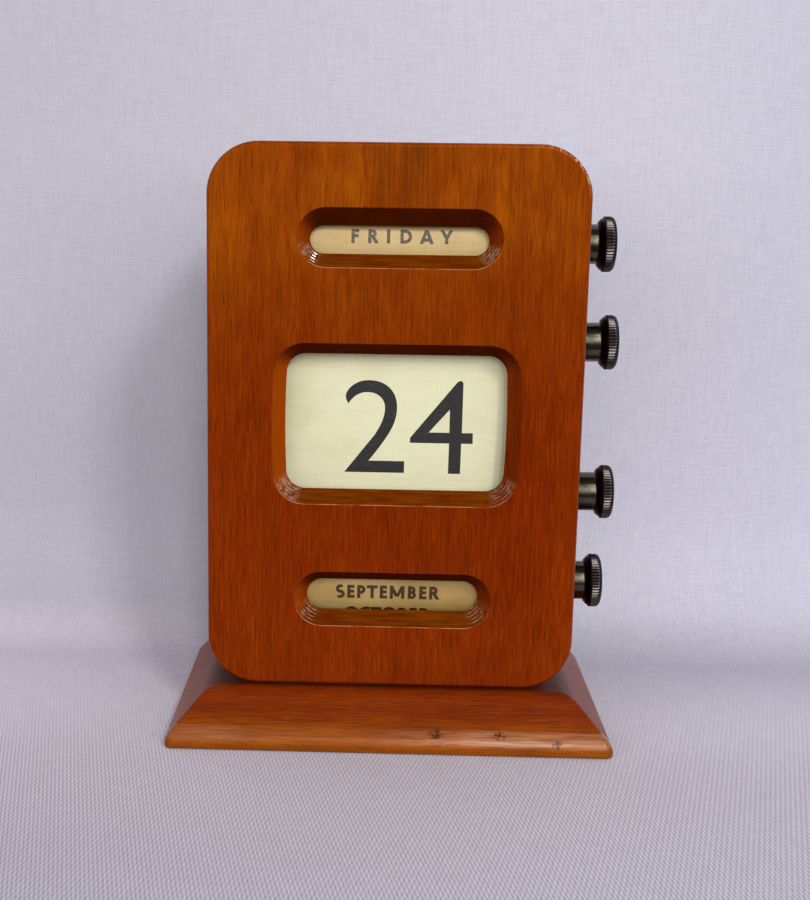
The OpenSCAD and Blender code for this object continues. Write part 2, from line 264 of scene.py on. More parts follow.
def plinth_ring(inset, height):
    """One level line round the plinth, with two sharp corners behind and two round in front."""
    near_top = max(0.0, 1 - (plinth_top - height) / back_round)
    back = back_round * (1 - math.sqrt(1 - near_top**2))
    eased = corner_round + (ridge_round - corner_round) * min(1, inset / (2 * mm))
    x, y0, y1 = plinth_high.x - inset, plinth_low.y + inset, plinth_high.y - back
    ring = [(-x, y1, height)]
    for sign, start in ((-1, math.pi), (1, 1.5 * math.pi)):
        for i in range(9):
            a = start + math.pi / 2 * i / 8
            centre = sign * (x - eased)
            ring.append((centre + eased * math.cos(a), y0 + eased + eased * math.sin(a), height))
    return ring + [(x, y1, height)]


plinth = bmesh.new()
rows = skin(plinth, [plinth_ring(inset, height) for inset, height in moulded_edge()])
recess = [(sx * (baize_high.x + slot_clearance), sy * (baize_high.y + slot_clearance)) for sx, sy in
          ((-1, -1), (1, -1), (1, 1), (-1, 1))]
walls = skin(plinth, [[(x, y, z) for x, y in recess] for z in (plinth_low.z, baize_high.z)])
bores = []
head_r = (screw_high.y - screw_low.y) / 2
shank_r = head_r / 2
base_screw_x, base_screw_y = screw_high.x - head_r, (screw_low.y + screw_high.y) / 2
for side in (-1, 1):
    centre = (side * base_screw_x, base_screw_y)
    bore_rings = [(head_r, baize_high.z), (shank_r, baize_high.z + head_r - shank_r), (shank_r, plinth_top)]
    bores.append(skin(plinth, [ring_round(centre, r + slot_clearance, z) for r, z in bore_rings]))
fill(plinth, "Z", rows[0], walls[0])
fill(plinth, "Z", walls[1], *[bore[0] for bore in bores])
fill(plinth, "Z", rows[-1], *[bore[-1] for bore in bores])

plinth_wood, place = new_material("plinth_varnish")
glow = place.noise((26, 9, 9), 2, 33.0).between(0.35, 0.65)
golden = place.axis("Z").between(10 * mm, 4 * mm) * (0.35 + 0.55 * glow)
colour, height, pores = wood_figure(place, "X", golden.mix(paint(120, 30, 2), paint(160, 80, 5)),
                                    golden.mix(paint(140, 54, 4), paint(176, 96, 7)), 3.0)
beside = place.axis("X")
# Painted shade: a dark band on the plinth's top just in front of the case's front foot, where the case's edge
# overhangs.
painted_shade_under_case = (beside * beside).between((50 * mm) ** 2, (46 * mm) ** 2)
painted_shade_under_case = painted_shade_under_case * place.axis("Y").between(panel_low.y - 3 * mm, panel_low.y - 0.4 * mm)
colour = (painted_shade_under_case * 0.7).mix(colour, paint(34, 12, 5))
scuffs = place.noise((0.8, 0.6, 0.6), 3, 31.0).between(0.46, 0.55)
bruises = []
for dent_x, dent_z, dent_size in ((12.0, 5.2, 2.5), (28.4, 5.1, 2.1), (43.2, 3.4, 1.9)):
    across, up = beside - dent_x * mm, place.axis("Z") - dent_z * mm
    rim, middle = (dent_size * mm) ** 2, (0.15 * dent_size * mm) ** 2
    bruises.append((across * across + 2.5 * up * up).between(rim, middle))
dents = scuffs * sum(bruises)
brushed = place.noise((9, 0.35, 0.35), 2, 35.0).between(0.35, 0.65)
on_nose = place.axis("Z").between(6.4 * mm, 5.4 * mm) * place.axis("Z").between(2.2 * mm, 3.8 * mm)
on_nose = on_nose * place.axis("Y").between(plinth_low.y + 5 * mm, plinth_low.y + 3.5 * mm)
left_end, right_half = beside.between(-28 * mm, -46 * mm), beside.between(-12 * mm, 30 * mm)
# Painted highlight: the nose is painted paler on its right half and at its left end, broken by brushed
# streaks and dents; the same share also sets the varnish coat.
polish_and_highlight = 0.14 + 0.3 * left_end + 0.8 * right_half - 0.3 * dents
colour = (on_nose * polish_and_highlight * (0.2 + 0.8 * brushed) * 0.4).mix(colour, paint(216, 168, 128))
# Painted shade: darker towards the foot of the nose.
colour = (place.axis("Z").between(3.5 * mm, 1 * mm) * 0.4).mix(colour, paint(118, 62, 6))
colour = (dents * 0.85).mix(colour, paint(40, 26, 22))
roughness = 0.36 + 0.12 * pores + 0.2 * dents
varnish = (1.0, 0.5, 0.2, 1)
set_surface(place, colour, roughness, height - dents, 0.018, Specular_IOR_Level=0.35, Specular_Tint=varnish,
            Coat_Weight=on_nose * polish_and_highlight * (0.6 + 0.4 * brushed), Coat_Roughness=0.22)
add_piece("plinth", plinth, "case", plinth_wood, "plinth_wood", "base_board")


# ---- Baize ------------------------------------------------------------------
# A rectangle of green wool baize, glued into the recess so that the plinth
# slides on it. Its pile hides the two screws.

baize, place = new_material("green_baize")
pile = place.noise((0.35, 0.35, 0.35), 4, 5.0)
worn = place.noise((9, 9, 9), 2, 6.0).between(0.4, 0.7)
colour = pile.mix(paint(16, 48, 30), paint(48, 92, 58))
colour = (worn * 0.4).mix(colour, paint(70, 96, 66))
set_surface(place, colour, 0.95, pile, 0.12, Sheen_Weight=0.3, Specular_IOR_Level=0.2)


def finish_node(name, material):
    """A piece whose turned or sawn shape is right as it is: it only takes its finish."""
    nodes[name].data.materials.clear()
    nodes[name].data.materials.append(material)


finish_node("baize_pad", baize)


# ---- Wood screws ------------------------------------------------------------
# Slotted brass screws with countersunk heads. Two come up through the plinth
# into the case, four hold the back panel; each was stopped at its own angle.

screw_brass, place = new_material("screw_brass")
stain = place.noise((1.4, 1.4, 1.4), 3, 11.0).between(0.4, 0.7)
colour = stain.mix(paint(186, 150, 88), paint(104, 76, 42))
set_surface(place, colour, 0.28 + 0.25 * stain, stain, 0.01, Metallic=1.0)


def screw_blank(head, length):
    """One screw with its head's face at the origin, its slot along X, its thread below."""
    neck, thread_depth, turns, sides = head / 2, 0.16 * head, 11, 16
    plain_length, thread_length = 0.35 * length, 0.6 * length
    bm = bmesh.new()
    profile = [(0.02 * head, 0), (0.98 * head, 0), (head, -0.06 * head), (neck, -1.06 * neck)]
    profile.append((neck, -plain_length))
    rows = skin(bm, [ring_round((0, 0), r, z) for r, z in profile])
    bm.faces.new(rows[0])
    bm.faces.new(reversed(rows[-1]))
    pitch = thread_length / turns
    steps = turns * 6
    rings = []
    for i in range(steps + 1):
        z = -plain_length - thread_length * i / steps
        ring = []
        for j in range(sides):
            a = 2 * math.pi * j / sides
            valley = abs(2 * ((-z / pitch + j / sides) % 1) - 1)
            r = neck - thread_depth * valley
            ring.append((r * math.cos(a), r * math.sin(a), z))
        rings.append(ring)
    rows = skin(bm, rings)
    bm.faces.new(rows[0])
    tip = bm.verts.new((0, 0, -length))
    for i in range(sides):
        bm.faces.new((rows[-1][i], rows[-1][(i + 1) % sides], tip))
    bmesh.ops.remove_doubles(bm, verts=bm.verts, dist=weld)
    bmesh.ops.recalc_face_normals(bm, faces=bm.faces)
    mesh = bpy.data.meshes.new("screw")
    bm.to_mesh(mesh)
    bm.free()
    blank = bpy.data.objects.new("screw_blank", mesh)
    cutter_mesh = bpy.data.meshes.new("slot")
    bm = bmesh.new()
    bmesh.ops.create_cube(bm, size=1, matrix=Matrix.Diagonal((3 * head, 0.34 * neck, 0.7 * neck, 1)))
    bm.to_mesh(cutter_mesh)
    bm.free()
    cutter = bpy.data.objects.new("slot_cutter", cutter_mesh)
    for part in (blank, cutter):
        scene.collection.objects.link(part)
    cut = blank.modifiers.new("slot", "BOOLEAN")
    cut.operation = "DIFFERENCE"
    cut.solver = "EXACT"
    cut.object = cutter
    bpy.context.view_layer.update()
    slotted = bpy.data.meshes.new_from_object(blank.evaluated_get(bpy.context.evaluated_depsgraph_get()))
    for part in (blank, cutter):
        bpy.data.objects.remove(part)
    return slotted


def grow_tree(name, sockets):
    """An empty Geometry Nodes tree with a geometry in and out and named inputs."""
    tree = bpy.data.node_groups.new(name, "GeometryNodeTree")
    tree.interface.new_socket("Geometry", in_out="OUTPUT", socket_type="NodeSocketGeometry")
    tree.interface.new_socket("Geometry", in_out="INPUT", socket_type="NodeSocketGeometry")
    for label, kind in sockets.items():
        tree.interface.new_socket(label, in_out="INPUT", socket_type="NodeSocket" + kind)
    return tree


def tree_node(tree, kind, settings=None, links=None):
    """Adds a node to a Geometry Nodes tree: settings, then values or sockets to link."""
    made = tree.nodes.new(kind)
    for name, value in (settings or {}).items():
        setattr(made, name, value)
    for key, value in (links or {}).items():
        if isinstance(value, bpy.types.NodeSocket):
            tree.links.new(value, made.inputs[key])
        else:
            made.inputs[key].default_value = value
    return made


def run_tree(piece, tree, values):
    """Runs a tree on a piece with the given inputs and keeps the result as plain mesh."""
    made = piece.modifiers.new("pattern", "NODES")
    made.node_group = tree
    for item in tree.interface.items_tree:
        if item.in_out == "INPUT" and item.name in values:
            made[item.identifier] = values[item.name]
    bpy.context.view_layer.update()
    mesh = bpy.data.meshes.new_from_object(piece.evaluated_get(bpy.context.evaluated_depsgraph_get()))
    piece.modifiers.remove(made)
    piece.data = mesh


def screw_tree():
    """Sets one screw at each point of a grid, each slot turned by its own chance angle."""
    tree = grow_tree("screws_on_a_grid", {
        "Columns": "Int", "Rows": "Int", "Width": "Float", "Height": "Float",
        "Centre": "Vector", "Lay": "Vector", "Seed": "Int", "Material": "Material"})
    given = tree_node(tree, "NodeGroupInput").outputs
    grid = tree_node(tree, "GeometryNodeMeshGrid", None, {
        "Vertices X": given["Columns"], "Vertices Y": given["Rows"],
        "Size X": given["Width"], "Size Y": given["Height"]})
    chance = tree_node(tree, "FunctionNodeRandomValue", {"data_type": "FLOAT"}, {
        2: 0.0, 3: math.tau, "Seed": given["Seed"]})
    turned = tree_node(tree, "ShaderNodeCombineXYZ", None, {"Z": chance.outputs[1]})
    placed = tree_node(tree, "GeometryNodeInstanceOnPoints", None, {
        "Points": grid.outputs["Mesh"], "Instance": given["Geometry"], "Rotation": turned.outputs[0]})
    laid = tree_node(tree, "GeometryNodeTransform", None, {
        "Geometry": placed.outputs[0], "Translation": given["Centre"], "Rotation": given["Lay"]})
    real = tree_node(tree, "GeometryNodeRealizeInstances", None, {0: laid.outputs[0]})
    dressed = tree_node(tree, "GeometryNodeSetMaterial", None, {
        "Geometry": real.outputs[0], "Material": given["Material"]})
    tree_node(tree, "NodeGroupOutput", None, {0: dressed.outputs[0]})
    return tree


screws_on_a_grid = screw_tree()


def set_screws(name, node, head, way, face, columns, rows, lay, seed):
    """Equal screws where the frame has them: head is a head's radius, way the axis
    along which they are driven, and face where their heads end on it."""
    low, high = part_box(node)
    centre, size = (low + high) / 2, high - low
    centre[way] = face
    width, height = [size[i] - 2 * head for i in range(3) if i != way]
    piece = bpy.data.objects.new(name, screw_blank(head, size[way]))
    scene.collection.objects.link(piece)
    values = {"Columns": columns, "Rows": rows, "Width": width, "Height": height,
              "Centre": centre, "Lay": lay, "Seed": seed, "Material": screw_brass}
    run_tree(piece, screws_on_a_grid, values)
    piece.data.shade_smooth()
    piece.data.set_sharp_from_angle(angle=math.radians(30))
    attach(piece, "case")
    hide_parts(node)


set_screws("plinth_screws", "base_screws", head_r, 2, screw_low.z, 2, 1, Vector((math.pi, 0, 0)), 4)


# ---- Case boards ------------------------------------------------------------
# Four mahogany boards glued into a box with rounded corners: the sides run the
# whole height, top and bottom fit between them. The right one is bored for the
# knobs, the left one for the pins.

case_wood, place = new_material("case_varnish")
colour, height, pores = wood_figure(place, "Z", paint(112, 38, 4), paint(138, 60, 5), 14.0)
set_surface(place, colour, 0.22 + 0.12 * pores, height, 0.02, Specular_IOR_Level=0.6)
cross_wood, place = new_material("case_varnish_across")
colour, height, pores = wood_figure(place, "X", paint(112, 38, 4), paint(138, 60, 5), 17.0)
set_surface(place, colour, 0.22 + 0.12 * pores, height, 0.02, Specular_IOR_Level=0.6)

shaft_nodes = ["day_drum", "date_upper_roller", "date_lower_roller", "month_drum"]
shaft_axes = [(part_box(name)[0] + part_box(name)[1]) / 2 for name in shaft_nodes]
back_low, back_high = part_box("back_screws")
bore_room, screw_room = 5.6 * mm, 6 * mm
ease = 0.18 * mm


def eased_board(name, node, wood, slot):
    """A board from the frame with its long edges eased, and its bores left crisp."""
    bm = bmesh.new()
    bm.from_mesh(nodes[node].data)
    bmesh.ops.remove_doubles(bm, verts=bm.verts, dist=0.001 * mm)
    bmesh.ops.dissolve_limit(bm, angle_limit=math.radians(0.3), verts=bm.verts, edges=bm.edges)

    def at_bore(edge):
        middle = (edge.verts[0].co + edge.verts[1].co) / 2
        for axis in shaft_axes:
            if math.hypot(middle.y - axis.y, middle.z - axis.z) < bore_room:
                return True
        for x in (back_low.x, back_high.x):
            for z in (back_low.z, back_high.z):
                if abs(middle.x - x) < screw_room and abs(middle.z - z) < screw_room:
                    return True
        return math.hypot(abs(middle.x) - base_screw_x, middle.y - base_screw_y) < screw_room

    edges = [edge for edge in bm.edges if len(edge.link_faces) == 2
             and edge.calc_face_angle() > math.radians(35) and not at_bore(edge)]
    bmesh.ops.bevel(bm, geom=edges, offset=ease, offset_type="OFFSET", segments=2,
                    profile=0.5, affect="EDGES", clamp_overlap=True)
    return add_piece(name, bm, "case", wood, slot, node)


eased_board("bottom_board", "case_bottom", cross_wood, "case_wood")
eased_board("left_side", "case_left", case_wood, "case_wood")
eased_board("right_side", "case_right", case_wood, "case_wood")
eased_board("top_board", "case_top", cross_wood, "case_wood")


# ---- Front panel ------------------------------------------------------------
# A mahogany panel glued on the front of the box. Its three windows are cut with
# a splayed cutter, which leaves straight sloping walls, fine rings in the
# corners and a slightly rounded arris. The grain runs up and down.

face_y, panel_back = panel_low.y, panel_high.y
panel_round, panel_edge, back_ease = 13 * mm, 1 * mm, 0.15 * mm
window_shift = 0.5 * mm
window_splay = 3.2 * mm
arris, arris_steps, wall_steps = 0.32 * mm, 6, 80
ring_pitch, ring_depth = 1.0 * mm, 0.15 * mm


def rounded_loop(half_w, half_h, radius, centre, y, bow=0.0):
    """Points round an upright rounded rectangle, with how near each one is to a corner."""
    arc_steps, side_steps = 22, 8
    loop = []
    x0, z0 = half_w - radius - bow, half_h - radius
    for quarter, (sx, sz) in enumerate(((1, 1), (-1, 1), (-1, -1), (1, -1))):
        for i in range(arc_steps + 1):
            a = math.pi / 2 * (quarter + i / arc_steps)
            x, z = sx * x0 + radius * math.cos(a), sz * z0 + radius * math.sin(a)
            loop.append(((centre[0] + x, y, centre[1] + z), math.sin(math.pi * i / arc_steps) ** 0.5))
        if bow and quarter in (1, 3):
            for i in range(1, side_steps):
                up = 2 * i / side_steps - 1
                x, z = sx * (half_w - bow * up * up), sx * up * z0
                loop.append(((centre[0] + x, y, centre[1] + z), 0.0))
    return loop


def cut_window(width, height, radius, rise, bow=0.0, drop=0.0):
    """One window from the face to the back of the panel, drop leaning its top in further.
    Facing says which way a point's wall is turned, ringed how near it is to a lower corner."""
    depth = panel_back - face_y
    turn = math.pi / 2 - math.atan2(window_splay, depth)
    start = arris * math.tan(turn / 2)
    steps = []
    for i in range(arris_steps + 1):
        a = turn * i / arris_steps
        steps.append((-start + arris * math.sin(a), arris * (1 - math.cos(a))))
    first = steps[-1][1]
    for i in range(1, wall_steps + 1):
        down = first + (depth - first) * i / wall_steps
        steps.append((window_splay * down / depth, down))
    rings = []
    for inset, down in steps:
        less = drop / 2 * down / depth
        loop = rounded_loop(width / 2 - inset, height / 2 - inset - less, radius - inset - less,
                            (window_shift, rise - less), face_y + down, bow)
        ripple = ring_depth * (down / ring_pitch % 1 - 0.5) if first < down < depth else 0.0
        rings.append([(x + ripple * near * math.copysign(0.7, x - window_shift), y,
                       z + ripple * near * math.copysign(0.7, z - rise)) for (x, y, z), near in loop])
    rows = skin(panel, rings)
    for row in rows:
        for i, (vert, (point, near)) in enumerate(zip(row, loop)):
            along = row[(i + 1) % len(row)].co - row[i - 1].co
            vert[facing] = along.x / along.length
            vert[ringed] = near if along.x > 0 else 0
    return rows


panel = bmesh.new()
facing = panel.verts.layers.float.new("facing")
ringed = panel.verts.layers.float.new("ringed")
panel_centre = ((panel_low.x + panel_high.x) / 2, (panel_low.z + panel_high.z) / 2)
half_w, half_h = (panel_high.x - panel_low.x) / 2, (panel_high.z - panel_low.z) / 2
outline = [(back_ease, panel_back), (0.0, panel_back - back_ease)]
for i in range(10):
    a = math.pi / 2 * i / 9
    outline.append((panel_edge * (1 - math.cos(a)), face_y + panel_edge * (1 - math.sin(a))))
rings = []
for inset, y in outline:
    loop = rounded_loop(half_w - inset, half_h - inset, panel_round - inset, panel_centre, y)
    rings.append([point for point, near in loop])
rows = skin(panel, rings)
day_z, upper_z, lower_z, month_z = [axis.z for axis in shaft_axes]
date_height, date_rise = upper_z - lower_z + 1.4 * mm, (upper_z + lower_z) / 2
windows = [
    cut_window(51.4 * mm, 14.9 * mm, 7.45 * mm, day_z + 1.5 * mm, drop=1.4 * mm),
    cut_window(63.3 * mm, date_height, 8.2 * mm, date_rise, bow=0.3 * mm),
    cut_window(51.2 * mm, 14.6 * mm, 7.3 * mm, month_z - 1.2 * mm),
]
cut_points = {vert for window in windows for row in window[arris_steps:] for vert in row}
for face in panel.faces:
    if all(vert in cut_points for vert in face.verts):
        face.material_index = 1
fill(panel, "Y", rows[-1], *[window[0] for window in windows])
fill(panel, "Y", rows[0], *[window[-1] for window in windows])

panel_wood, place = new_material("panel_varnish")
# Painted light: the face is painted lighter and more golden towards its top and less so towards its right
# side, mixed with amber blotches of the wood.
amber = place.noise((9, 9, 22), 3, 29.0).between(0.4, 0.7)
golden = place.axis("Z").between(80 * mm, 150 * mm) * (0.4 + 0.5 * amber)
golden = golden * place.axis("X").between(95 * mm, 5 * mm)
colour, height, pores = wood_figure(place, "Z", golden.mix(paint(124, 35, 3), paint(172, 84, 6)),
                                    golden.mix(paint(144, 52, 4), paint(188, 100, 8)), 23.0)
specks = place.node("TexVoronoi", {"feature": "F1"}, {"Vector": place, "Scale": 70.0}).between(0.09, 0.03)
rare = place.noise((14, 14, 14), 0, 37.0).between(0.6, 0.62)
colour = (specks * rare * 0.6).mix(colour, paint(56, 16, 6))
# At the top right corner the rounded edge is painted pale and flaked: worn varnish together with a painted
# highlight of the lamp on that edge.
highlit_corner = place.axis("X").between(33 * mm, 40 * mm) * place.axis("Z").between(140 * mm, 146 * mm)
depth = place.axis("Y") - face_y
at_edge = depth.between(0.01 * mm, 0.06 * mm) * depth.between(1.1 * mm, 0.6 * mm)
flaked = place.noise((1.2, 1.2, 1.2), 3, 41.0).between(0.45, 0.6)
worn = highlit_corner * at_edge * flaked
colour = (worn * 0.8).mix(colour, paint(206, 160, 124))
heart = place.axis("X") - 1.5 * mm
heart = (heart * heart).between((11 * mm) ** 2, (3 * mm) ** 2) * place.axis("Z").between(128 * mm, 144 * mm)
heart = heart * place.noise((0.9, 0.9, 30), 2, 43.0).between(0.4, 0.6)
colour = (heart * 0.45).mix(colour, paint(78, 36, 8))
# Painted highlight: a pale broken line along the rounded arris at the bottom of each window, where the lamps
# above catch it.
below = place.node("Attribute", {"attribute_name": "facing"}, out=2).between(0.0, 1.0)
on_arris = depth.between(0.005 * mm, 0.03 * mm) * depth.between(0.13 * mm, 0.08 * mm)
broken = place.noise((5, 5, 5), 2, 47.0).between(0.3, 0.6)
colour = (below * on_arris * broken * 0.6).mix(colour, paint(216, 160, 116))
shellac = (1.0, 0.3, 0.03, 1)
set_surface(place, colour, 0.22 + 0.12 * pores, height, 0.02, Specular_IOR_Level=0.4, Specular_Tint=shellac)
cut_wood, place = new_material("window_cut_varnish")
colour, height, pores = wood_figure(place, "Z", paint(132, 44, 3), paint(152, 66, 4), 23.0)
turned_to = place.node("Attribute", {"attribute_name": "facing"}, out=2)
below, above = turned_to.between(0.2, 0.95), turned_to.between(-0.2, -0.95)
cut_marks = place.noise((9, 0.8, 9), 2, 25.0).between(0.3, 0.7)
# Painted shade: the top walls, facing down, are painted nearly black-brown, darker than their end grain
# alone. The bottom walls are darker and more golden, with cut marks.
colour = (above * 0.75).mix(colour, paint(58, 18, 2))
colour = (below * 0.7).mix(colour, cut_marks.mix(paint(86, 34, 2), paint(120, 62, 5)))
# Painted light: the left walls, which face the lamps on the right, are painted lighter.
lit_left_walls = place.axis("X").between(-19 * mm, -26 * mm) * (1 - below) * (1 - above)
colour = (lit_left_walls * 0.5).mix(colour, paint(190, 86, 6))
in_corner = place.node("Attribute", {"attribute_name": "ringed"}, out=2).between(0.45, 0.95)
flaked = place.noise((1.1, 1.1, 1.1), 2, 49.0).between(0.35, 0.6)
set_surface(place, colour, 0.4 + 0.12 * pores, height, 0.02, Specular_IOR_Level=0.0,
            Coat_Weight=in_corner * flaked * place.axis("X").between(60 * mm, 0 * mm), Coat_Roughness=0.07,
            Coat_IOR=2.1)
front = add_piece("front_panel_cut", panel, "case", panel_wood, "panel_wood", "front_panel")
front.data.materials.append(cut_wood)


# ---- Drums, rollers, pins and washers ---------------------------------------
# Four cylinders turned from pale limewood, left bare. Each runs on a steel pin
# at the left, against a felt washer that holds it where it is set.

limewood, place = new_material("turned_limewood")
ring_marks = place.noise((0.5, 9, 9), 2, 51.0)
growth = place.noise((40, 2, 2), 3, 52.0)
colour = growth.mix(paint(196, 158, 104), paint(168, 124, 74))
colour = (ring_marks.between(0.5, 0.7) * 0.3).mix(colour, paint(140, 100, 58))
set_surface(place, colour, 0.62, ring_marks, 0.03, Specular_IOR_Level=0.3)
for name in shaft_nodes:
    finish_node(name, limewood)

bright_steel, place = new_material("drawn_steel")
drawn = place.noise((6, 0.15, 0.15), 2, 55.0)
colour = drawn.mix(paint(150, 150, 152), paint(190, 190, 190))
set_surface(place, colour, 0.25 + 0.15 * drawn, drawn, 0.004, Metallic=1.0)
for name in ("day_pin", "date_upper_pin", "date_lower_pin", "month_pin"):
    finish_node(name, bright_steel)

felt, place = new_material("grey_felt")
fibre = place.noise((0.25, 0.25, 0.25), 4, 58.0)
colour = fibre.mix(paint(62, 60, 58), paint(104, 100, 94))
set_surface(place, colour, 0.95, fibre, 0.1, Sheen_Weight=0.3, Specular_IOR_Level=0.2)
finish_node("friction_washers", felt)


# ---- Weekday and month strips -----------------------------------------------
# Strips of varnished linen glued round the drums, joined behind, and printed
# with the seven days and the twelve months, each name below the one before.

strip_thick, widest_name = 0.3 * mm, 40 * mm
ink_sunk, ink_proud = 0.02 * mm, 0.025 * mm
stroke = 0.235  # in heights of a capital, as are all measures of the letters
half = stroke / 2


def upright_bar(x, low, high):
    return [(x - half, low), (x + half, low), (x + half, high), (x - half, high)]


def level_bar(y, left, right):
    return [(left, y - half), (right, y - half), (right, y + half), (left, y + half)]


def slant(x0, y0, x1, y1):
    """A leaning stroke, cut level at both ends."""
    wide = half * math.hypot(x1 - x0, y1 - y0) / abs(y1 - y0)
    return [(x0 - wide, y0), (x0 + wide, y0), (x1 + wide, y1), (x1 - wide, y1)]


def bend(x, y, rx, ry, start, end, steps=14):
    """A curved stroke round (x, y), from one angle to another."""
    turns = [math.radians(start + (end - start) * i / steps) for i in range(steps + 1)]
    outer = [(x + (rx + half) * math.cos(a), y + (ry + half) * math.sin(a)) for a in turns]
    inner = [(x + (rx - half) * math.cos(a), y + (ry - half) * math.sin(a)) for a in reversed(turns)]
    return outer + inner


def bowl(left, width, low, high):
    """A half round on a stem, as in B, D, P and R: two level strokes and a bend."""
    ry = (high - low) / 2
    rx = min(ry, width - half - left)
    x = width - half - rx
    return [level_bar(low, left, x), level_bar(high, left, x), bend(x, (low + high) / 2, rx, ry, -90, 90)]


top, middle, bottom = 1 - half, 0.52, half
letters = {  # strokes, width, room on the left and on the right, all in heights of a capital
    "A": ([slant(0.1, 0, 0.48, 1), slant(0.86, 0, 0.48, 1), level_bar(0.28, 0.2, 0.76)], 0.96, 0.01, 0.01),
    "B": ([upright_bar(half, 0, 1), *bowl(half, 0.56, middle, top), *bowl(half, 0.6, bottom, middle)],
          0.6, 0.13, 0.08),
    "C": ([bend(0.49, 0.5, 0.405, 0.415, 55, 305, 24)], 0.74, 0.06, 0.03),
    "D": ([upright_bar(half, 0, 1), *bowl(half, 0.84, bottom, top)], 0.84, 0.13, 0.07),
    "E": ([upright_bar(half, 0, 1), level_bar(top, half, 0.52), level_bar(middle, half, 0.5),
           level_bar(bottom, half, 0.53)], 0.53, 0.13, 0.05),
    "F": ([upright_bar(half, 0, 1), level_bar(top, half, 0.56), level_bar(middle, half, 0.52)],
          0.56, 0.13, 0.03),
    "G": ([bend(0.49, 0.5, 0.405, 0.415, 55, 320, 24), upright_bar(0.8, 0.14, 0.5)], 0.885, 0.06, 0.1),
    "H": ([upright_bar(half, 0, 1), upright_bar(0.69, 0, 1), level_bar(middle, half, 0.69)],
          0.775, 0.13, 0.13),
    "I": ([upright_bar(half, 0, 1)], stroke, 0.11, 0.11),
    "J": ([upright_bar(0.29, 0.28, 1), bend(0.1, 0.28, 0.19, 0.195, -90, 0), level_bar(bottom, 0, 0.1)],
          0.375, 0.02, 0.12),
    "L": ([upright_bar(half, 0, 1), level_bar(bottom, half, 0.5)], 0.5, 0.13, 0.02),
    "M": ([upright_bar(half, 0, 1), upright_bar(0.945, 0, 1), slant(0.515, 0.16, 0.1, 1),
           slant(0.515, 0.16, 0.93, 1)], 1.03, 0.13, 0.13),
    "N": ([upright_bar(half, 0, 1), upright_bar(0.735, 0, 1), slant(0.71, 0, 0.11, 1)], 0.82, 0.13, 0.13),
    "O": ([bend(0.46, 0.5, 0.375, 0.415, 0, 180, 20), bend(0.46, 0.5, 0.375, 0.415, 180, 360, 20)],
          0.92, 0.06, 0.06),
    "P": ([upright_bar(half, 0, 1), *bowl(half, 0.6, 0.45, top)], 0.6, 0.13, 0.06),
    "R": ([upright_bar(half, 0, 1), *bowl(half, 0.6, 0.49, top), slant(0.62, 0, 0.34, 0.5)],
          0.72, 0.13, 0.02),
    "S": ([bend(0.29, 0.7075, 0.2, 0.2075, 42, 270, 18), bend(0.29, 0.2925, 0.22, 0.2075, 90, -142, 18)],
          0.6, 0.05, 0.05),
    "T": ([level_bar(top, 0, 0.78), upright_bar(0.39, 0, top)], 0.78, 0.02, 0.02),
    "U": ([upright_bar(half, 0.36, 1), upright_bar(0.675, 0.36, 1),
           bend(0.38, 0.36, 0.295, 0.275, 180, 360, 18)], 0.76, 0.12, 0.12),
    "V": ([slant(0.465, 0, 0.1, 1), slant(0.465, 0, 0.83, 1)], 0.93, 0.01, 0.01),
    "W": ([slant(0.36, 0, 0.09, 1), slant(0.36, 0, 0.65, 1), slant(0.94, 0, 0.65, 1),
           slant(0.94, 0, 1.21, 1)], 1.3, 0.01, 0.01),
    "Y": ([slant(0.435, 0.4, 0.1, 1), slant(0.435, 0.4, 0.77, 1), upright_bar(0.435, 0, 0.44)],
          0.87, 0.01, 0.01),
}


def printed_shape(outlines, split):
    """Joins overlapping outlines into one flat shape, cut into strips that can be bent."""
    points, faces = [], []
    for outline in outlines:
        turning = sum(x0 * y1 - x1 * y0 for (x0, y0), (x1, y1) in zip(outline, outline[1:] + outline[:1]))
        faces.append(list(range(len(points), len(points) + len(outline))))
        points += [Vector(point) for point in (outline if turning > 0 else outline[::-1])]
    low = Vector([min(p[i] for p in points) - split for i in (0, 1)])
    high = Vector([max(p[i] for p in points) + split for i in (0, 1)])
    edges = []
    for across, along in ((1, 0), (0, 1)):
        for i in range(1, int((high[across] - low[across]) / split) + 1):
            for end in (low, high):
                cut = [0.0, 0.0]
                cut[across], cut[along] = low[across] + i * split, end[along]
                points.append(Vector(cut))
            edges.append((len(points) - 2, len(points) - 1))
    made = delaunay_2d_cdt(points, edges, faces, 0, 1e-6)
    return made[0], [face for face, owners in zip(made[2], made[5]) if owners]


letter_shapes = {letter: printed_shape(parts[0], 0.13) for letter, parts in letters.items()}


def lay_ink(bm, shape, spot):
    """A closed film of ink: spot(x, y, lift) gives the point of the surface it lies on."""
    points, faces = shape
    used = sorted({i for face in faces for i in face})
    under = {i: bm.verts.new(spot(*points[i], -ink_sunk)) for i in used}
    over = {i: bm.verts.new(spot(*points[i], ink_proud)) for i in used}
    rim = {}
    for face in faces:
        bm.faces.new([over[i] for i in face])
        bm.faces.new([under[i] for i in reversed(face)])
        for i, j in zip(face, face[1:] + face[:1]):
            rim[(i, j)] = rim.get((i, j), 0) + 1
    for i, j in rim:
        if (j, i) not in rim:
            bm.faces.new((over[j], over[i], under[i], under[j]))


def name_width(word, spacing):
    """Width of a printed word in heights of a capital."""
    rooms = [letters[c][2] + letters[c][3] + letters[c][1] for c in word]
    return sum(rooms) + spacing * (len(word) - 1)


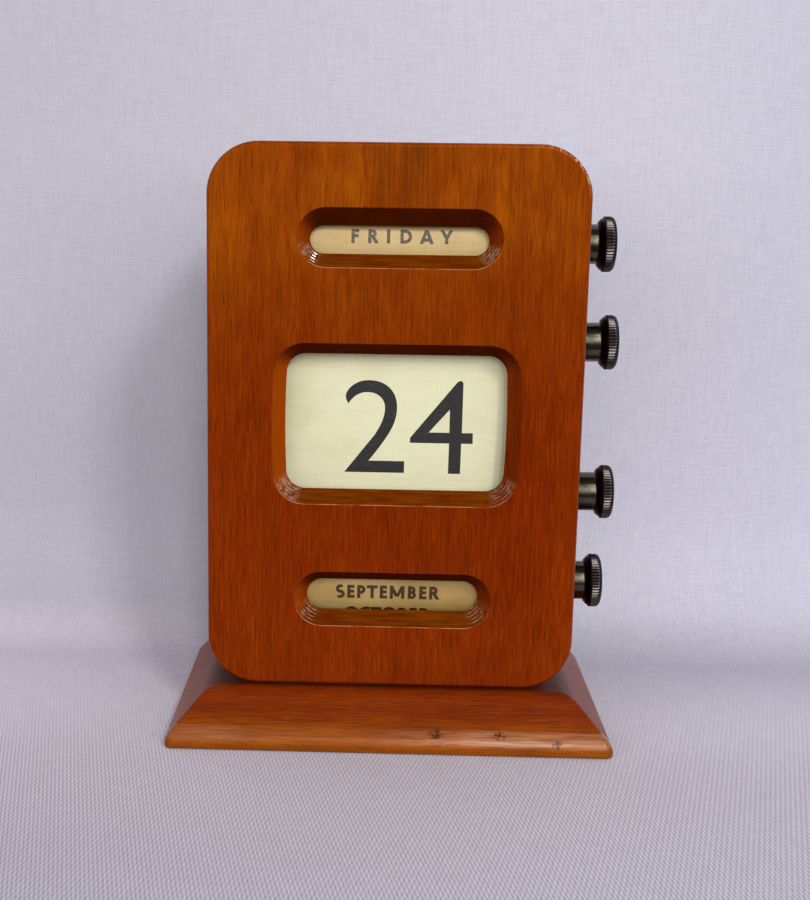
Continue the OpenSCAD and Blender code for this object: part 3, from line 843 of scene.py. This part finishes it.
def print_name(bm, word, capital, spacing, widest, spot):
    """Prints one name centred on X = 0; long names are set closer."""
    gaps = len(word) - 1
    spacing = min(spacing, (widest - name_width(word, 0)) / gaps)
    x = -name_width(word, spacing) / 2
    for c in word:
        x += letters[c][2]
        lay_ink(bm, letter_shapes[c],
                lambda u, v, lift, x=x: spot((x + u) * capital, (v - 0.5) * capital, lift))
        x += letters[c][1] + letters[c][3] + spacing


def aged_linen(name, clean, dirty, seed, thread=0.3):
    """Varnished linen strip: a fine plain weave, yellowed unevenly."""
    cloth, place = new_material(name)
    warp = place.noise((thread * 0.9, 6, 6), 1, seed)
    weft = place.noise((7, thread * 0.9, thread * 0.9), 1, seed + 1)
    soil = place.noise((16, 7, 7), 3, seed + 2).between(0.35, 0.7)
    colour = soil.mix(clean, dirty)
    colour = (warp.between(0.35, 0.75) * 0.08).mix(colour, paint(118, 92, 50))
    colour = (weft.between(0.35, 0.75) * 0.1).mix(colour, paint(118, 92, 50))
    set_surface(place, colour, 0.5, warp + weft, 0.03, Specular_IOR_Level=0.35)
    return cloth


def faded_ink(name, dark, pale, seed):
    """Printer's ink on linen, thin where it missed the threads."""
    ink, place = new_material(name)
    thin = place.noise((0.5, 0.5, 0.5), 3, seed).between(0.42, 0.68)
    set_surface(place, thin.mix(dark, pale), 0.55, thin, 0.01, Specular_IOR_Level=0.3)
    return ink


def dress_drum(node, body, names, first, capital, spacing, shift, cloth, ink):
    """The strip round one drum and the names on it; first is the angle of names[0],
    capital the letters' height, and shift how far the names stand to the right."""
    low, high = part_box(node)
    axis = (low + high) / 2
    outer = (high.z - low.z) / 2
    inner = outer - strip_thick
    pitch = 2 * math.pi / len(names)
    seam = first - pitch * (len(names) // 2 + 0.5)
    joint = 0.02  # radians left open where the strip's ends meet, behind

    def spot(x, angle, radius):
        return x, axis.y - radius * math.cos(angle), axis.z + radius * math.sin(angle)

    bm = bmesh.new()
    steps = 256
    rings = []
    for i in range(steps + 1):
        angle = seam + joint / 2 + (2 * math.pi - joint) * i / steps
        corners = ((low.x, inner), (high.x, inner), (high.x, outer), (low.x, outer))
        rings.append([spot(x, angle, radius) for x, radius in corners])
    rows = skin(bm, rings)
    bm.faces.new(rows[0])
    bm.faces.new(reversed(rows[-1]))
    add_piece(node + "_linen", bm, body, cloth, "strip_linen", node)
    bm = bmesh.new()
    for i, word in enumerate(names):
        turn = first - pitch * i
        print_name(bm, word, capital, spacing, widest_name / capital,
                   lambda u, v, lift, turn=turn: spot(shift + u, turn + v / outer, outer + lift))
    add_piece(node + "_print", bm, body, ink, None)


weekdays = ["FRIDAY", "SATURDAY", "SUNDAY", "MONDAY", "TUESDAY", "WEDNESDAY", "THURSDAY"]
months = ["SEPTEMBER", "OCTOBER", "NOVEMBER", "DECEMBER", "JANUARY", "FEBRUARY",
          "MARCH", "APRIL", "MAY", "JUNE", "JULY", "AUGUST"]
day_cloth = aged_linen("weekday_linen", paint(220, 193, 136), paint(200, 170, 112), 61.0)
day_ink = faded_ink("weekday_ink", paint(84, 83, 76), paint(120, 114, 96), 64.0)
dress_drum("day_strip", "day", weekdays, math.radians(7.7), 3.5 * mm, 0.495, 0.9 * mm, day_cloth, day_ink)
# The month strip's linen is given darker colours than the weekday strip's.
month_cloth = aged_linen("month_linen", paint(190, 160, 100), paint(166, 136, 78), 71.0)
month_ink = faded_ink("month_ink", paint(54, 38, 26), paint(84, 62, 40), 74.0)
dress_drum("month_strip", "month", months, math.radians(-4.6), 3.65 * mm, 0.015, -0.7 * mm, month_cloth,
           month_ink)


# ---- Date band --------------------------------------------------------------
# One long band of cream linen, wound on the two rollers and stretched tight
# between them behind the date window. Large numbers are printed down it.

band_linen, place = new_material("cream_linen")
warp = place.noise((0.3, 5, 5), 2, 81.0)
weft = place.noise((6, 0.3, 0.3), 2, 82.0)
soil = place.noise((18, 18, 18), 3, 83.0).between(0.4, 0.72)
colour = soil.mix(paint(236, 235, 198), paint(224, 221, 179))
colour = (warp.between(0.4, 0.75) * 0.08).mix(colour, paint(176, 164, 122))
colour = (weft.between(0.4, 0.75) * 0.14).mix(colour, paint(176, 164, 122))
set_surface(place, colour, 0.7, warp + weft, 0.03, Specular_IOR_Level=0.25, Sheen_Weight=0.1)
for name in ("date_upper_roll", "date_lower_roll"):
    finish_node(name, band_linen)

band_low, band_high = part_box("date_band")
upper_low, lower_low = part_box("date_upper_roll")[0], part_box("date_lower_roll")[0]
band_gap, band_thick, wave_height = 0.3 * mm, 0.2 * mm, 0.05 * mm
band_slope = (upper_low.y - lower_low.y) / (upper_z - lower_z)


def band_spot(x, z, lift):
    """A point on the front of the stretched band, which barely waves from edge to edge."""
    wave = math.sin(x * 95 + 1.0) * 0.5 + math.sin(x * 190 + z * 60) * 0.25 + math.sin(z * 110) * 0.3
    front = lower_low.y + band_slope * (z - lower_z) - band_gap - band_thick
    return x, front - wave_height * wave - lift, z


bm = bmesh.new()
columns, lines = 64, 40
xs = [band_low.x + (band_high.x - band_low.x) * i / columns for i in range(columns + 1)]
zs = [lower_z + (upper_z - lower_z) * i / lines for i in range(lines + 1)]
fronts = skin(bm, [[band_spot(x, z, 0) for x in xs] for z in zs], closed=False)
backs = skin(bm, [[band_spot(x, z, -band_thick) for x in xs] for z in zs], closed=False)
rim_front, rim_back = [
    rows[0] + [row[-1] for row in rows[1:]] + rows[-1][-2::-1] + [row[0] for row in rows[-2:0:-1]]
    for rows in (fronts, backs)]
for i in range(len(rim_front)):
    j = (i + 1) % len(rim_front)
    bm.faces.new((rim_front[i], rim_front[j], rim_back[j], rim_back[i]))
band = add_piece("date_band_linen", bm, "case", band_linen, "band_linen", "date_band")


def curve(a, b, c, d, steps=10):
    """Points of a Bezier curve after its first one."""
    found = []
    for i in range(1, steps + 1):
        t = i / steps
        weights = ((1 - t) ** 3, 3 * t * (1 - t) ** 2, 3 * t * t * (1 - t), t**3)
        found.append(tuple(sum(w * p[k] for w, p in zip(weights, (a, b, c, d))) for k in (0, 1)))
    return found


number_x, number_z = 0.2, -0.45  # from the drawn outlines to their place on the band
two = [(-12.9, 69.1), (2.8, 69.1), (2.8, 72.25), (-6.6, 72.25)]
two += curve(two[-1], (-4.4, 75.0), (-2.9, 77.2), (-1.6, 79.3))
two += curve(two[-1], (-0.2, 81.6), (0.63, 83.8), (0.63, 86.6))
two += curve(two[-1], (0.63, 90.9), (-2.3, 93.7), (-6.6, 93.7))
two += curve(two[-1], (-9.5, 93.7), (-11.6, 92.2), (-12.5, 90.5))
two += curve(two[-1], (-12.9, 89.6), (-12.8, 88.5), (-12.05, 87.5), 5)
two += curve(two[-1], (-10.8, 89.4), (-9.2, 90.55), (-7.1, 90.55))
two += curve(two[-1], (-4.4, 90.55), (-2.5, 88.9), (-2.5, 86.4))
two += curve(two[-1], (-2.5, 83.9), (-3.6, 81.6), (-5.1, 79.2))
four = [(14.35, 69.1), (17.5, 69.1), (17.58, 77.25), (20.55, 77.25), (20.5, 80.1), (17.65, 80.1)]
four += [(17.65, 93.2)]
four += curve(four[-1], (17.6, 93.95), (16.6, 94.1), (16.1, 93.5), 5)
four += [(4.2, 78.6), (4.15, 77.25), (14.4, 77.25)]
eye = [(14.4, 80.1), (9.0, 80.1), (14.35, 86.3)]


def inside(point, outline):
    """Whether a point lies inside an outline."""
    crossings = 0
    for (x0, y0), (x1, y1) in zip(outline, outline[1:] + outline[:1]):
        if (y0 > point[1]) != (y1 > point[1]):
            crossings += point[0] < x0 + (point[1] - y0) * (x1 - x0) / (y1 - y0)
    return crossings % 2 == 1


four_solid = printed_shape([four, eye], 1.0)
four_shape = (four_solid[0], [face for face in four_solid[1] if not inside(
    sum((four_solid[0][i] for i in face), Vector((0, 0))) / len(face), eye)])
bm = bmesh.new()
for shape in (printed_shape([two], 1.0), four_shape):
    lay_ink(bm, shape, lambda x, z, lift: band_spot((x + number_x) * mm, (z + number_z) * mm, lift))
date_ink, place = new_material("date_ink")
thin = place.noise((0.35, 0.35, 0.35), 3, 91.0).between(0.5, 0.75)
weft = place.noise((2.5, 0.4, 0.4), 2, 82.0).between(0.5, 0.7)
colour = (thin * 0.4).mix(paint(44, 43, 43), paint(76, 72, 68))
set_surface(place, (weft * 0.2).mix(colour, paint(88, 84, 78)), 0.6, thin, 0.02, Specular_IOR_Level=0.3)
number = add_piece("date_number_print", bm, "case", date_ink, None)


# ---- Knobs ------------------------------------------------------------------
# Four brass knobs turned in one piece with the neck that runs in the case and
# the spigot that drives the roller. The head is straight knurled, then bronzed
# almost black; fingers have rubbed the ridges bright.

bronze, place = new_material("bronzed_brass")
rubbed = place.node("Attribute", {"attribute_name": "rubbed"}, out=2)
on_head = place.node("Attribute", {"attribute_name": "on_head"}, out=2)
patch = place.noise((0.9, 0.9, 0.9), 3, 95.0).between(0.4, 0.65)
turned = place.noise((0.16, 30, 30), 1, 96.0)
on_neck = patch.mix(paint(87, 83, 70), paint(102, 96, 82))
colour = on_head.mix(on_neck, patch.mix(paint(26, 21, 22), paint(39, 32, 31)))
colour = (rubbed * 0.42).mix(colour, paint(158, 148, 144))
roughness = 0.2 + 0.03 * turned + 0.1 * on_head
set_surface(place, colour, roughness, turned, 0.006, Metallic=1.0)

ridge_count, groove_depth = 54, 0.3 * mm
spigot_length, spigot_r = 10 * mm, 2.5 * mm
case_side = panel_high.x


def knob_profile(low, high, neck_length):
    """(x, radius, knurl share) down the turned outline, from the spigot to the head's face."""
    head = (high.z - low.z) / 2
    neck = 5.15 * mm
    fillet, chamfer, rim = 0.6 * mm, 1.3 * mm, 1.3 * mm
    x_head = case_side + neck_length
    inner = low.x + spigot_length
    outline = [(low.x, 0.0, 0), (low.x, spigot_r - 0.3 * mm, 0), (low.x + 0.3 * mm, spigot_r, 0)]
    outline += [(inner, spigot_r, 0), (inner, neck - 0.2 * mm, 0), (inner + 0.2 * mm, neck, 0)]
    for i in range(7):
        a = math.pi / 2 * i / 6
        outline.append((x_head - fillet + fillet * math.sin(a), neck + fillet - fillet * math.cos(a), 0))
    edge = head - 0.25 * mm
    outline += [(x_head + chamfer * 0.55, neck + fillet + (edge - neck - fillet) * 0.7, 0)]
    outline += [(x_head + chamfer * 0.8, edge - 0.2 * mm, 0), (x_head + chamfer * 0.95, edge, 0.7)]
    outline += [(x_head + chamfer * 1.08, head - 0.02 * mm, 0.9)]
    outline += [(x_head + chamfer * 1.2, head, 1)]
    for i in range(8):
        a = math.pi / 2 * i / 7
        outline.append((high.x - rim + rim * math.sin(a), head - rim + rim * math.cos(a), max(0, 1 - i / 4)))
    outline += [(high.x, head * 0.6, 0), (high.x - 0.05 * mm, head * 0.55, 0), (high.x - 0.05 * mm, 0.0, 0)]
    return outline


def knob_ridge(outline):
    """The slice of a knob under one ridge, with valleys at both sides."""
    bm = bmesh.new()
    layer = bm.verts.layers.float.new("rubbed")
    head_layer = bm.verts.layers.float.new("on_head")
    depths = [1, 0.42, 0, 0.42, 1]
    head_from, face_depth = 5.3 * mm, 0.1 * mm
    rows = []
    for x, radius, knurl in outline:
        row = []
        for i, depth in enumerate(depths):
            a = (i / (len(depths) - 1) - 0.5) * math.tau / ridge_count
            r = max(radius - groove_depth * depth * knurl, 0)
            vert = bm.verts.new((x, r * math.sin(a), r * math.cos(a)))
            vert[layer] = knurl * (1 - depth)
            vert[head_layer] = 1 if radius > head_from or x > outline[-1][0] - face_depth else 0
            row.append(vert)
        rows.append(row)
    for near, far in zip(rows, rows[1:]):
        for i in range(len(depths) - 1):
            bm.faces.new((near[i], near[i + 1], far[i + 1], far[i]))
    bmesh.ops.remove_doubles(bm, verts=bm.verts, dist=weld)
    mesh = bpy.data.meshes.new("ridge")
    bm.to_mesh(mesh)
    bm.free()
    return mesh


def knurl_tree():
    """Repeats one ridge's slice round the X axis and welds the slices together."""
    tree = grow_tree("ridges_round_a_knob", {
        "Ridges": "Int", "Weld": "Float", "Axis": "Vector", "Material": "Material"})
    given = tree_node(tree, "NodeGroupInput").outputs
    spots = tree_node(tree, "GeometryNodePoints", None, {"Count": given["Ridges"]})
    index = tree_node(tree, "GeometryNodeInputIndex")
    step = tree_node(tree, "ShaderNodeMath", {"operation": "DIVIDE"}, {0: math.tau, 1: given["Ridges"]})
    angle = tree_node(tree, "ShaderNodeMath", {"operation": "MULTIPLY"}, {
        0: index.outputs[0], 1: step.outputs[0]})
    turned = tree_node(tree, "ShaderNodeCombineXYZ", None, {"X": angle.outputs[0]})
    placed = tree_node(tree, "GeometryNodeInstanceOnPoints", None, {
        "Points": spots.outputs[0], "Instance": given["Geometry"], "Rotation": turned.outputs[0]})
    real = tree_node(tree, "GeometryNodeRealizeInstances", None, {0: placed.outputs[0]})
    welded = tree_node(tree, "GeometryNodeMergeByDistance", None, {
        "Geometry": real.outputs[0], "Distance": given["Weld"]})
    moved = tree_node(tree, "GeometryNodeTransform", None, {
        "Geometry": welded.outputs[0], "Translation": given["Axis"]})
    dressed = tree_node(tree, "GeometryNodeSetMaterial", None, {
        "Geometry": moved.outputs[0], "Material": given["Material"]})
    tree_node(tree, "NodeGroupOutput", None, {0: dressed.outputs[0]})
    return tree


ridges_round_a_knob = knurl_tree()
knobs = {"day_knob": ("day", 4.4), "date_upper_knob": ("date_upper", 6.2),
         "date_lower_knob": ("date_lower", 6.9), "month_knob": ("month", 5.0)}
for node, (body, neck_length) in knobs.items():
    low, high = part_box(node)
    knob = bpy.data.objects.new(node + "_turned", knob_ridge(knob_profile(low, high, neck_length * mm)))
    scene.collection.objects.link(knob)
    axis = Vector((0, (low.y + high.y) / 2, (low.z + high.z) / 2))
    values = {"Ridges": ridge_count, "Weld": 0.002 * mm, "Axis": axis, "Material": bronze}
    run_tree(knob, ridges_round_a_knob, values)
    knob.data.shade_smooth()
    knob.data.set_sharp_from_angle(angle=math.radians(50))
    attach(knob, body)
    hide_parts(node)


# ---- Back panel -------------------------------------------------------------
# A plain mahogany panel let on from behind and held by four screws, so that the
# rollers can be reached.

back_wood, place = new_material("back_varnish")
colour, height, pores = wood_figure(place, "Z", paint(104, 36, 5), paint(128, 56, 8), 97.0)
set_surface(place, colour, 0.32 + 0.15 * pores, height, 0.02, Specular_IOR_Level=0.45)
eased_board("back_cover", "back_panel", back_wood, "panel_wood")
back_lay = Vector((-math.pi / 2, 0, 0))
set_screws("back_panel_screws", "back_screws", 2.5 * mm, 1, back_high.y, 2, 2, back_lay, 9)


# ---- Floor, backdrop and light ----------------------------------------------
# A pale lilac cloth lies under the calendar and rises in a sweep behind it; seen
# from its back it is clear. A small lamp shines from the right and above, and
# three large soft ones fill in from the front, with an even pale surround.

cloth, place = new_material("studio_cloth")
thread_a = place.noise((0.5, 8, 8), 2, 101.0)
thread_b = place.noise((8, 0.5, 0.5), 2, 102.0)
weave = thread_a.between(0.35, 0.7) * 0.5 + thread_b.between(0.35, 0.7) * 0.5
along = place.axis("Y") * 0.22 + place.axis("Z")
per_rib = math.tau / (0.95 * mm)
ribs = [place.math("SINE", (place.axis("X") * lean + along) * per_rib) for lean in (1.0, -0.8)]
twill = ribs[0] * 0.3 + ribs[1] * 0.2 + 0.5
near_by = place.axis("Y").between(30 * mm, -60 * mm)
on_wall = place.axis("Z").between(0 * mm, 12 * mm)
high_up = place.axis("Z").between(45 * mm, 115 * mm)
to_right = place.axis("X").between(-130 * mm, 60 * mm)
beyond = place.axis("X").between(75 * mm, 140 * mm) * on_wall
by_wall = place.axis("Y").between(-25 * mm, 45 * mm)
# Painted light and shade on the cloth: the floor is painted lighter just in front of the calendar and towards
# the right, the sweep's foot darker on the right, the wall darker on the left where the case's shadow falls,
# and a little darker right of the case.
colour = place.axis("Y").between(-100 * mm, -45 * mm).mix(
    to_right.mix(paint(227, 222, 236), paint(240, 236, 250)), paint(243, 238, 251))
colour = by_wall.mix(colour, to_right.mix(paint(224, 218, 230), paint(203, 200, 214)))
colour = on_wall.mix(colour, to_right.mix(paint(194, 191, 203), paint(220, 219, 234)))
colour = high_up.mix(colour, to_right.mix(paint(204, 202, 214), paint(219, 218, 233)))
colour = (beyond * 0.3).mix(colour, paint(194, 198, 212))
colour = (weave * 0.22).mix(colour, paint(150, 146, 164))
colour = (twill * (near_by * 0.42 + 0.1)).mix(colour, paint(104, 98, 114))
from_behind = place.node("NewGeometry", out="Backfacing") * place.node("LightPath", out="Is Camera Ray")
set_surface(place, colour, 0.9, weave + twill, 0.05, clear=from_behind, Specular_IOR_Level=0.1)
bm = bmesh.new()
cloth_front, cloth_side, cloth_top = -128, 1100, 900
sweep_start, sweep_round, sweep_steps = 38, 40, 12
sweep = [(cloth_front, 0), (sweep_start, 0)]
for i in range(1, sweep_steps + 1):
    a = math.pi / 2 * i / sweep_steps
    sweep.append((sweep_start + sweep_round * math.sin(a), sweep_round * (1 - math.cos(a))))
sweep.append((sweep_start + sweep_round, cloth_top))
skin(bm, [[(x * mm, y * mm, z * mm) for x in (-cloth_side, cloth_side)] for y, z in sweep], closed=False)
mesh = bpy.data.meshes.new("studio_cloth")
bm.to_mesh(mesh)
bm.free()
mesh.materials.append(cloth)
mesh.shade_smooth()
floor = bpy.data.objects.new("studio_cloth", mesh)
scene.collection.objects.link(floor)


def soft_lamp(name, place, target, size, watts, tint):
    """A square lamp that faces a point of the calendar."""
    lamp = bpy.data.objects.new(name, bpy.data.lights.new(name, "AREA"))
    lamp.data.shape = "RECTANGLE"
    lamp.data.size, lamp.data.size_y = [side * mm for side in size]
    lamp.data.energy = watts
    lamp.data.color = tint
    lamp.location = Vector(place) * mm
    lamp.rotation_euler = (Vector(target) * mm - lamp.location).to_track_quat("-Z", "Y").to_euler()
    scene.collection.objects.link(lamp)


soft_lamp("window_lamp", (661, -1520, 1188), (0, 0, 70), (280, 330), 10.3, (1.0, 0.98, 0.96))
soft_lamp("tall_lamp", (226, -1717, 1070), (0, 0, 70), (210, 1616), 7.6, (1.0, 0.98, 0.96))
soft_lamp("right_lamp", (888, -1670, 721), (0, 0, 70), (1866, 1147), 13.6, (1.0, 0.98, 0.96))
soft_lamp("left_lamp", (-951, -1647, 688), (0, 0, 70), (2080, 1223), 14.6, (1.0, 0.98, 0.96))

world = bpy.data.worlds.new("surround")
scene.world = world
world.use_nodes = True
world.node_tree.nodes["Background"].inputs["Color"].default_value = (0.80, 0.80, 0.86, 1)
world.node_tree.nodes["Background"].inputs["Strength"].default_value = 0.12
scene.view_settings.view_transform = "Standard"
